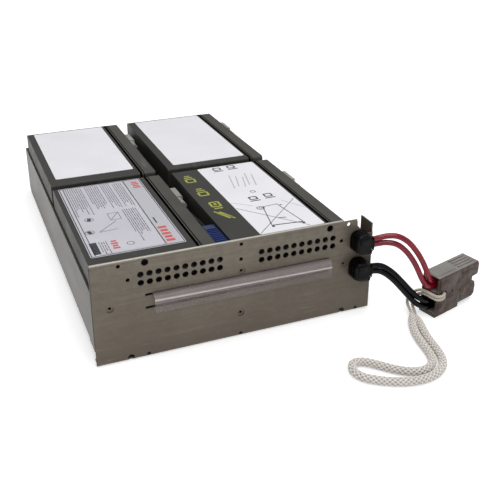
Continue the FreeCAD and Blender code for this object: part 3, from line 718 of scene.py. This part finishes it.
class CARTRIDGE_OT_labels(CartridgeStep, bpy.types.Operator):
    """Finish the labels and lay plain generic marks on the two front ones"""
    bl_idname = "cartridge.labels"
    bl_label = "Labels"

    def execute(self, context):
        repaint({"label_rear": "plain_paper", "label_front_right": "plain_paper",
                 "label_front_left": "printed_paper"})
        paper = BATTERY_TOP + 0.25 * MM
        self.front_left(paper)
        self.front_right(paper)
        self.case_marks()
        return {"FINISHED"}

    def front_left(self, paper):
        chance = random.Random(PRINT_SEED)
        printed("print_left_strip", "pale_ink",
                [(-44.6, 84.4, 12.2, 132.2, 0), (-75.5, 19.2, 50.0, 2.0, 0)], paper - 0.03 * MM)
        small = []
        for rows in ((-103.4, -88.5, 90, 150), (-85.6, -74.5, 96, 150), (-71.8, -64.0, 92, 150),
                     (-66.5, -54.5, 30, 92), (-61.5, -54.5, 92, 149), (-97.0, -90.5, 21, 40)):
            small += text_rows(chance, *rows)
        printed("print_left_rows", "grey_ink", small, paper)
        lines = outline_marks(-106.4, -37.4, 17.6, 151.0, 0.7)
        lines += [(-51.3, 84.4, 0.8, 131.5, 0), (-103.6, 84.4, 0.6, 131.5, 0),
                  (-101.6, 30.0, 5.4, 19.5, 0)]
        lines += [stroke(-92.5, 56, -78, 57.2, 0.4), stroke(-92.5, 56, -76, 72, 0.4)]
        lines += outline_marks(-79.5, -71.0, 74.5, 87.5, 0.4)
        lines += [stroke(-79.5, 74.5, -71.0, 87.5, 0.4), (-99.6, 58, 3.0, 5.0, 20),
                  (-95.4, 81, 3.0, 5.0, -15), (-47.6, 61.5, 1.2, 11.0, 0)]
        printed("print_left_lines", "dark_ink", lines, paper)
        printed_rings("print_left_rings", "dark_ink",
                      [(-75.1, 29.8, 2.6, 0.5), (-99.6, 58, 3.4, 0.5), (-95.4, 81, 3.4, 0.5)], paper)
        stacks = ((-42.9, 132.8, 6.4, 3.9, 4), (-46.2, 24.0, 6.8, 5.8, 5), (-86.4, 26.0, 5.2, 3.8, 4))
        red = [(x, y + pitch * n, width - 1.1 * (n % 2), pitch * 0.66, 0)
               for x, y, width, pitch, count in stacks for n in range(count)]
        printed("print_left_accents", "red_ink", red, paper)

    def front_right(self, paper):
        lines = [stroke(19.4, 8, 71.4, 60, 0.5), stroke(60.5, 8, 19.4, 58, 0.5)]
        lines += [stroke(40.5, 53, 33.2, 19, 0.7), stroke(53.4, 54.2, 58.4, 16.8, 0.7),
                  stroke(40.5, 53, 53.4, 54.2, 0.7), stroke(33.2, 18.2, 58.4, 15.6, 1.3)]
        lines += [(46.5, 28.4, 1.0, 6.5, 80), (33.4, 16.4, 2.2, 2.6, 0), (58.0, 13.8, 2.2, 2.6, 0),
                  (55.6, 51.5, 1.6, 1.6, 0)]
        for x, y in ((40.2, 72.6), (54.2, 74.2), (35.4, 146.6), (49.4, 147.6)):
            lines += outline_marks(x - 3.1, x + 3.1, y - 2.7, y + 2.7, 1.4)
            lines.append((x, y - 5.6, 9.0, 1.4, 0))
        printed("print_right_lines", "dark_ink", lines, paper)
        printed_rings("print_right_rings", "dark_ink",
                      [(45.5, 85.8, 2.1, 0.7), (38.0, 51.7, 3.0, 0.7), (38.0, 51.7, 1.2, 0.6)], paper)
        pale = [stroke(34 + 5 * n, 98 + 3 * (n % 2), 40 + 5 * n, 128 - 4 * (n % 3), 1.0)
                for n in range(5)]
        pale += [stroke(19.2, 70, 34, 58, 0.7), stroke(60, 60, 71.6, 40, 0.7)]
        printed("print_right_pale", "pale_ink", pale, paper)

    def case_marks(self):
        """Four plain marks in yellow-green along the bare edge of the front right case."""
        marks = []
        for x, y in ((4.6, 131.3), (5.2, 99.3)):
            marks += outline_marks(x - 3.8, x + 3.8, y - 5.6, y + 1.8, 1.7)
            marks += [(x, y + 5.6, 7.6, 1.8, 0), (x, y + 9.4, 5.0, 1.8, 0)]
        marks += outline_marks(3.0, 10.4, 68.4, 77.6, 1.8)
        marks += [(6.8, 73.2, 2.6, 3.4, 0), (6.8, 64.6, 7.4, 1.8, 0)]
        marks += [stroke(3.4, 57.0, 9.8, 44.2, 4.4), stroke(0.6, 59.6, 12.4, 41.8, 1.3)]
        printed("print_case_marks", "leaf_ink", marks, BATTERY_TOP)


class CARTRIDGE_OT_wiring(CartridgeStep, bpy.types.Operator):
    """Finish the leads inside the tray, the fuse holders and their caps"""
    bl_idname = "cartridge.wiring"
    bl_label = "Inner wiring"

    def execute(self, context):
        repaint({"jumper": "black_cover", "harness_red": "red_cover", "harness_black": "black_cover"})
        for side, (x, y, z) in {"left": (-16.9, 6.0, 56.0), "right": (99.4, 22.0, 28.0)}.items():
            holder = softened(f"fuse_body_{side}", f"fuse_holder_{side}", 0.4)
            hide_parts(f"fuse_holder_{side}")
            dress(holder, "blue_moulding")
            ribs = [block((x + 1.6, front, z + 22.6), (x + 9.4, front + 1.4, z + 23.7), 0.3)
                    for front in (y + 4 + 3.0 * n for n in range(8))]
            assembled(f"fuse_ribs_{side}", ribs, LAID, "blue_moulding")
        return {"FINISHED"}


class CARTRIDGE_OT_reliefs(CartridgeStep, bpy.types.Operator):
    """Finish the two strain reliefs and add their grip ribs, teeth and latch boss"""
    bl_idname = "cartridge.reliefs"
    bl_label = "Strain reliefs"

    def execute(self, context):
        repaint({"strain_relief": "black_nylon"})
        half_width, half_height, corner, proud = 6.7, 8.2, 5.0, 0.5
        x = RELIEF_X / MM
        low_x, high_x = x - half_width - proud, x + half_width + proud
        for level, height in RELIEF_HEIGHTS.items():
            z = height / MM
            low_z, high_z = z - half_height - proud, z + half_height + proud
            ribs = [block((low_x, y, low_z), (high_x, y + 1.1, high_z), corner + proud, 6, axis=1)
                    for y in (-1.6, -4.4, -7.2)]
            teeth = [block((x - 1.0 + 1.9 * n, -11.4, low_z + 0.5), (x + 2.2 * n, -8.2, z - 5.8),
                           0.25) for n in range(4)]
            teeth += [block((x + 5.2, -11.2, z - 6.4 + 2.0 * n), (high_x, -8.4, z - 5.3 + 2.0 * n),
                            0.25) for n in range(3)]
            boss = block((x - 4.6, -12.7, z + 0.4), (x + 3.4, -11.6, z + 5.6), 0.5)
            collar = block((x + 7.2, -11.9, z - 5.4), (x + 7.8, -3.1, z + 5.4), 0.3)
            assembled(f"relief_grip_{level}", ribs + teeth + [boss, collar], LAID, "black_nylon")
        return {"FINISHED"}


class CARTRIDGE_OT_connector(CartridgeStep, bpy.types.Operator):
    """Soften the connector's housing, add its ribs and pads, and finish the contacts"""
    bl_idname = "cartridge.connector"
    bl_label = "Connector"

    def execute(self, context):
        repaint({"contact_": "tinned_metal"})
        sizes = context.scene.cartridge_sizes
        depth = sizes.plug_depth / MM
        top = sizes.plug_height / MM
        body = softened("connector_body", "connector_housing", 0.5, 3)
        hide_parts("connector_housing")
        dress(body, "grey_moulding")
        ribs = [block((27.0, 3.0 + 3.2 * n, top - 0.2), (46.0, 4.3 + 3.2 * n, top + 0.6), 0.25)
                for n in range(4)]
        pad = block((2.0, -0.45, 23.6), (24.0, 0.2, 34.4), 0.3)
        step = block((30.0, -0.35, 26.0), (48.0, 0.2, 33.2), 0.3)
        foot_pad = block((2.0, -0.45, 2.0), (24.0, 0.2, 12.8), 0.3)
        crown = block((1.2, 3.0, top - 0.2), (24.0, depth - 3.0, top + 0.35), 0.3)
        assembled("connector_trim", ribs + [pad, step, foot_pad, crown], PLUGGED, "grey_moulding")
        return {"FINISHED"}


# ---------------------------------------------------------------- cords

# Control points of the free leads, in millimetres, from the strain reliefs to the connector.
FREE_LEADS = {
    "lead_red_upper": [
        (107, -167.0, 67.1), (112.4, -167.0, 67.1), (118.6, -169.2, 69.0), (126.4, -173.0, 69.4),
        (134.0, -177.0, 64.8), (140.2, -180.4, 56.6), (144.7, -183.0, 48.5), (147.7, -185.0, 41.4),
        (149.4, -186.7, 35.5), (151.6, -187.6, 31.5), (155.28, -186.72, 30.3),
        (158.94, -185.68, 30.3)],
    "lead_red_lower": [
        (107, -167.2, 62.3), (112.4, -167.2, 62.3), (118.2, -169.8, 63.6), (125.6, -173.8, 62.9),
        (132.4, -177.4, 57.1), (138.0, -180.8, 48.6), (141.7, -183.3, 40.6), (144.5, -185.3, 33.4),
        (147.8, -187.2, 28.1), (151.6, -187.7, 26.1), (155.28, -186.72, 25.4),
        (158.94, -185.68, 25.4)],
    "lead_black_upper": [
        (107, -168.0, 43.3), (112.2, -168.0, 43.3), (117.6, -170.4, 42.5), (124.4, -174.3, 37.7),
        (131.2, -178.2, 29.9), (137.8, -181.8, 21.8), (143.6, -185.0, 15.7), (149.2, -187.2, 13.2),
        (153.6, -187.2, 12.0), (156.6, -186.35, 11.9), (158.94, -185.68, 11.9)],
    "lead_black_lower": [
        (107, -168.2, 38.5), (112.2, -168.2, 38.5), (117.4, -171.0, 37.5), (123.8, -174.9, 32.4),
        (130.4, -178.9, 24.6), (136.4, -182.2, 17.0), (142.0, -185.0, 10.8), (147.6, -187.1, 7.6),
        (152.6, -187.4, 6.9), (156.2, -186.47, 6.9), (158.94, -185.68, 6.9)],
}

# The thin cord's two legs run from the connector's tie hole round its back to the sleeve's ends.
TIE_LEGS = {
    "tie_leg_upper": [
        (162.4, -189.6, 20.6), (162.6, -192.6, 20.7), (161.2, -195.0, 20.8), (158.4, -196.4, 20.9),
        (155.3, -197.1, 21.1), (152.5, -196.0, 21.4), (150.9, -192.6, 21.6), (149.6, -188.0, 21.9),
        (148.2, -183.4, 21.5), (146.4, -179.2, 19.3), (143.8, -176.2, 15.6), (140.4, -175.6, 11.8),
        (138.4, -178.4, 8.4), (138.2, -182.6, 5.6), (137.8, -185.8, 4.6), (136.2, -189.8, 4.6)],
    "tie_leg_lower": [
        (162.5, -189.6, 17.8), (162.7, -192.6, 17.8), (161.3, -195.0, 17.9), (158.5, -196.4, 18.0),
        (155.4, -197.1, 18.2), (152.7, -196.0, 18.5), (151.2, -192.8, 18.8), (150.2, -188.6, 19.0),
        (149.0, -184.2, 18.6), (147.4, -180.2, 16.3), (145.2, -177.6, 12.9), (142.8, -178.2, 9.2),
        (142.0, -181.8, 6.0), (141.6, -185.4, 3.7), (140.6, -188.4, 2.9), (139.0, -191.8, 2.8)],
}

# The sleeve runs from one leg to the other.
PULL_ROPE = [
    (136.5, -189.2, 4.6), (132.3, -195.7, 4.0), (127.9, -203.8, 3.6), (124.9, -212.6, 3.5),
    (122.9, -222.4, 3.5), (121.7, -232.0, 3.5), (120.0, -241.0, 3.5), (115.2, -248.4, 3.5),
    (107.8, -252.2, 3.5), (99.4, -251.8, 3.5), (91.0, -247.6, 3.5), (83.2, -241.0, 3.5),
    (75.6, -232.6, 3.5), (67.6, -226.4, 3.5), (60.2, -227.0, 3.5), (56.8, -234.4, 3.5),
    (59.6, -243.2, 3.5), (68.6, -250.4, 3.5), (80.4, -256.8, 3.5), (92.4, -260.2, 3.5),
    (104.4, -260.6, 3.5), (114.6, -257.6, 3.5), (122.8, -251.4, 3.5), (127.4, -242.6, 3.5),
    (129.0, -232.8, 3.5), (130.2, -223.2, 3.5), (132.2, -214.2, 3.5), (134.8, -206.0, 3.5),
    (136.9, -198.7, 3.4), (139.2, -191.2, 2.8)]

# Spacing of the points read along each cord's smooth curve.
ROUTE_STEP = 0.5 * MM


def new_curve(name, radius, facets):
    """An empty curve object with a round section and closed ends."""
    data = bpy.data.curves.new(name, "CURVE")
    data.dimensions = "3D"
    data.bevel_depth = radius
    data.bevel_resolution = facets
    data.use_fill_caps = True
    piece = bpy.data.objects.new(name, data)
    bpy.context.collection.objects.link(piece)
    return piece


def routed(name, route, bore=0.0):
    """A smooth curve with the route's points, in millimetres, as its control points."""
    piece = new_curve(name, bore / 2, 6)
    piece.data.resolution_u = 16
    line = piece.data.splines.new("NURBS")
    line.points.add(len(route) - 1)
    for point, place in zip(line.points, route):
        point.co = (*(Vector(place) * MM), 1)
    line.order_u = 3
    line.use_endpoint_u = True
    return piece


def centreline(route):
    """Evenly spaced points read from the route's smooth curve."""
    guide = routed("guide", route)
    mesh = bpy.data.meshes.new_from_object(guide.evaluated_get(bpy.context.evaluated_depsgraph_get()))
    points = [v.co.copy() for v in mesh.vertices]
    bpy.data.objects.remove(guide)
    bpy.data.meshes.remove(mesh)
    return evened(points, ROUTE_STEP)


def evened(points, step):
    """Walk along a line of points and drop one at each step."""
    runs = [(b - a).length for a, b in zip(points, points[1:])]
    whole = sum(runs)
    count = max(2, round(whole / step))
    even = [points[0]]
    walked, at = 0.0, 0
    for number in range(1, count):
        target = whole * number / count
        while walked + runs[at] < target:
            walked += runs[at]
            at += 1
        even.append(points[at].lerp(points[at + 1], (target - walked) / runs[at]))
    return even + [points[-1]]


def cross_frames(points):
    """Two unit vectors across the line at each point, turning as little as they can."""
    across = Vector((0, 0, 1))
    frames = []
    for number in range(len(points)):
        ahead = (points[min(number + 1, len(points) - 1)] - points[max(number - 1, 0)]).normalized()
        across = (across - ahead * across.dot(ahead)).normalized()
        frames.append((across.copy(), ahead.cross(across)))
    return frames


def stranded(name, points, strands, radius, depth):
    """Yarns wound round a line. Each is (thickness, list of (angle, distance from the line)).

    radius gives the cord's outer radius at a point's number. The attribute "rise" is 1 there, and
    falls to 0 at this depth below it.
    """
    frames = cross_frames(points)
    piece = new_curve(name, MM, 1)
    for thickness, winding in strands:
        line = piece.data.splines.new("POLY")
        line.points.add(len(points) - 1)
        for target, point, (up, side), (angle, reach) in zip(line.points, points, frames, winding):
            target.co = (*(point + (up * math.cos(angle) + side * math.sin(angle)) * reach), 1)
            target.radius = thickness / 2 / MM
    only(piece)
    bpy.ops.object.convert(target="MESH")
    piece.data.name = name
    tree = KDTree(len(points))
    for number, point in enumerate(points):
        tree.insert(point, number)
    tree.balance()
    rise = piece.data.attributes.new("rise", "FLOAT", "POINT")
    for vertex, value in zip(piece.data.vertices, rise.data):
        number, distance = tree.find(vertex.co)[1:]
        value.value = min(1, max(0, 1 - (radius(number) - distance) / depth))
    return piece


class CARTRIDGE_OT_leads(CartridgeStep, bpy.types.Operator):
    """Run the four free leads from the strain reliefs to the connector"""
    bl_idname = "cartridge.leads"
    bl_label = "Free leads"

    def execute(self, context):
        bore = context.scene.cartridge_sizes.lead_bore
        for name, route in FREE_LEADS.items():
            lead = routed("free_" + name, route, bore)
            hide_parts(name)
            tint = "red" if "red" in name else "black"
            dress(lead, f"{tint}_cover")
        return {"FINISHED"}


class CARTRIDGE_OT_tie_cord(CartridgeStep, bpy.types.Operator):
    """Twist the thin cord's two legs from three yarns each"""
    bl_idname = "cartridge.tie_cord"
    bl_label = "Tie cord"

    def execute(self, context):
        bore = context.scene.cartridge_sizes.tie_bore
        yarns = 3
        yarn = bore * 0.5
        reach = (bore - yarn) / 2
        lay = 6.0 * MM
        for name, route in TIE_LEGS.items():
            points = centreline(route)
            step = (points[1] - points[0]).length
            strands = [(yarn, [(math.tau * (n * step / lay + turn / yarns), reach)
                               for n in range(len(points))]) for turn in range(yarns)]
            leg = stranded("twisted_" + name, points, strands, lambda number: bore / 2, bore * 0.3)
            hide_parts(name)
            dress(leg, "tie_yarn")
        return {"FINISHED"}


class CARTRIDGE_OT_sleeve(CartridgeStep, bpy.types.Operator):
    """Braid the pull sleeve from two sets of yarns over a soft core painted with the hollow shade"""
    bl_idname = "cartridge.sleeve"
    bl_label = "Pull sleeve"

    def execute(self, context):
        sizes = context.scene.cartridge_sizes
        points = centreline(PULL_ROPE)
        whole = len(points) - 1
        step = (points[1] - points[0]).length
        taper = 12 * MM / step
        carriers = 6
        lay, yarn, lift, depth = 22 * MM, 1.8 * MM, 0.32 * MM, 1.3 * MM

        def radius(n):
            close = min(n, whole - n) / taper
            eased = 1 if close >= 1 else math.sin(close * math.pi / 2)
            return (sizes.sleeve_tip + (sizes.sleeve_bore - sizes.sleeve_tip) * eased) / 2

        # A core strand fills the braid's inside; lying deep, it takes the painted hollow shade.
        strands = [(sizes.sleeve_tip * 0.75, [(0, 0)] * (whole + 1))]
        for way in (1, -1):
            for carrier in range(carriers):
                winding = []
                for n in range(whole + 1):
                    angle = way * math.tau * n * step / lay + math.tau * carrier / carriers
                    over = way * math.cos(carriers * math.tau * n * step / lay)
                    winding.append((angle, radius(n) - yarn / 2 - lift + lift * over))
                strands.append((yarn, winding))
        braid = stranded("braided_sleeve", points, strands, radius, depth)
        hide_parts("pull_rope")
        dress(braid, "braid_yarn")
        return {"FINISHED"}


# Each lamp is (name, place, aim, size, power), in metres and watts.
LAMPS = (("key", (-0.25, -1.05, 1.5), (0, 0, 0.05), 1.1, 9.5),
         ("fill", (1.2, -1.2, 0.9), (0.05, -0.05, 0.04), 1.4, 3.5),
         ("overhead", (0.1, 0.15, 1.7), (0, 0, 0.05), 1.2, 12.0))


class CARTRIDGE_OT_stage(CartridgeStep, bpy.types.Operator):
    """Set the floor, the lamps, the world and the camera"""
    bl_idname = "cartridge.stage"
    bl_label = "Stage"

    def execute(self, context):
        self.floor()
        self.world(context)
        self.lamps(context)
        self.camera(context)
        context.scene.view_settings.view_transform = "Standard"
        return {"FINISHED"}

    def floor(self):
        bpy.ops.mesh.primitive_plane_add(size=8, location=(0, 0, 0))
        floor = bpy.context.object
        floor.name = floor.data.name = "studio_floor"
        tree = new_tree("studio_floor")
        path = tree.nodes.new("ShaderNodeLightPath").outputs
        seen = larger(larger(path["Is Camera Ray"], path["Is Glossy Ray"]),
                      path["Is Transmission Ray"])
        coat(tree, Base_Color=tone((0.93, 0.93, 0.93)), Roughness=0.9,
             Emission_Color=(1, 1, 1, 1), Emission_Strength=times(seen, FLOOR_GLOW))
        floor.data.materials.append(bpy.data.materials["studio_floor"])

    def world(self, context):
        world = bpy.data.worlds.new("Studio")
        context.scene.world = world
        world.use_nodes = True
        tree = world.node_tree
        plain = feed(tree.nodes["Background"], Color=(0.97, 0.98, 1.0, 1),
                     Strength=context.scene.cartridge_studio.daylight)
        white = add(tree, "ShaderNodeBackground", Color=(1, 1, 1, 1), Strength=1.0)
        mixed = tree.nodes.new("ShaderNodeMixShader")
        path = tree.nodes.new("ShaderNodeLightPath").outputs["Is Camera Ray"]
        for place, source in zip(mixed.inputs, (path, plain.outputs[0], white.outputs[0])):
            give(place, source)
        feed(tree.nodes["World Output"], Surface=mixed.outputs[0])

    def lamps(self, context):
        for name, place, aim, size, power in LAMPS:
            data = bpy.data.lights.new(name, "AREA")
            data.size = size
            data.energy = power
            lamp = bpy.data.objects.new(name, data)
            lamp.location = place
            lamp.rotation_euler = (Vector(aim) - Vector(place)).to_track_quat("-Z", "Y").to_euler()
            context.collection.objects.link(lamp)

    def camera(self, context):
        studio = context.scene.cartridge_studio
        data = bpy.data.cameras.new("Camera")
        data.lens = studio.focal
        data.sensor_width = 36
        data.shift_x, data.shift_y = studio.shift
        camera = bpy.data.objects.new("Camera", data)
        context.collection.objects.link(camera)
        camera.matrix_world = (Matrix.Translation(Vector(studio.station))
                               @ Matrix.Rotation(studio.turn, 4, "Z")
                               @ Matrix.Rotation(math.pi / 2 - studio.rise, 4, "X")
                               @ Matrix.Rotation(studio.roll, 4, "Z"))
        context.scene.camera = camera


STEPS = [CARTRIDGE_OT_finishes, CARTRIDGE_OT_tray, CARTRIDGE_OT_batteries, CARTRIDGE_OT_labels,
         CARTRIDGE_OT_wiring, CARTRIDGE_OT_reliefs, CARTRIDGE_OT_connector, CARTRIDGE_OT_leads,
         CARTRIDGE_OT_tie_cord, CARTRIDGE_OT_sleeve, CARTRIDGE_OT_stage]


class CARTRIDGE_PT_panel(bpy.types.Panel):
    """Lists the cartridge's steps and settings"""
    bl_idname = "CARTRIDGE_PT_panel"
    bl_label = "Battery Cartridge"
    bl_space_type = "VIEW_3D"
    bl_region_type = "UI"
    bl_category = "Cartridge"

    def draw(self, context):
        for step in STEPS:
            self.layout.operator(step.bl_idname)
        for settings in (context.scene.cartridge_sizes, context.scene.cartridge_colours,
                         context.scene.cartridge_studio):
            for name in settings.__annotations__:
                self.layout.prop(settings, name)


SETTINGS = {"cartridge_sizes": CartridgeSizes, "cartridge_colours": CartridgeColours,
            "cartridge_studio": CartridgeStudio}


def register():
    for settings in SETTINGS.values():
        bpy.utils.register_class(settings)
    for step in STEPS:
        bpy.utils.register_class(step)
    bpy.utils.register_class(CARTRIDGE_PT_panel)
    for name, settings in SETTINGS.items():
        setattr(bpy.types.Scene, name, bpy.props.PointerProperty(type=settings))


def unregister():
    for name in SETTINGS:
        delattr(bpy.types.Scene, name)
    bpy.utils.unregister_class(CARTRIDGE_PT_panel)
    for step in reversed(STEPS):
        bpy.utils.unregister_class(step)
    for settings in SETTINGS.values():
        bpy.utils.unregister_class(settings)


def main():
    register()
    bpy.ops.cartridge.finishes()
    bpy.ops.cartridge.tray()
    bpy.ops.cartridge.batteries()
    bpy.ops.cartridge.labels()
    bpy.ops.cartridge.wiring()
    bpy.ops.cartridge.reliefs()
    bpy.ops.cartridge.connector()
    bpy.ops.cartridge.leads()
    bpy.ops.cartridge.tie_cord()
    bpy.ops.cartridge.sleeve()
    bpy.ops.cartridge.stage()


if __name__ == "__main__":
    main()
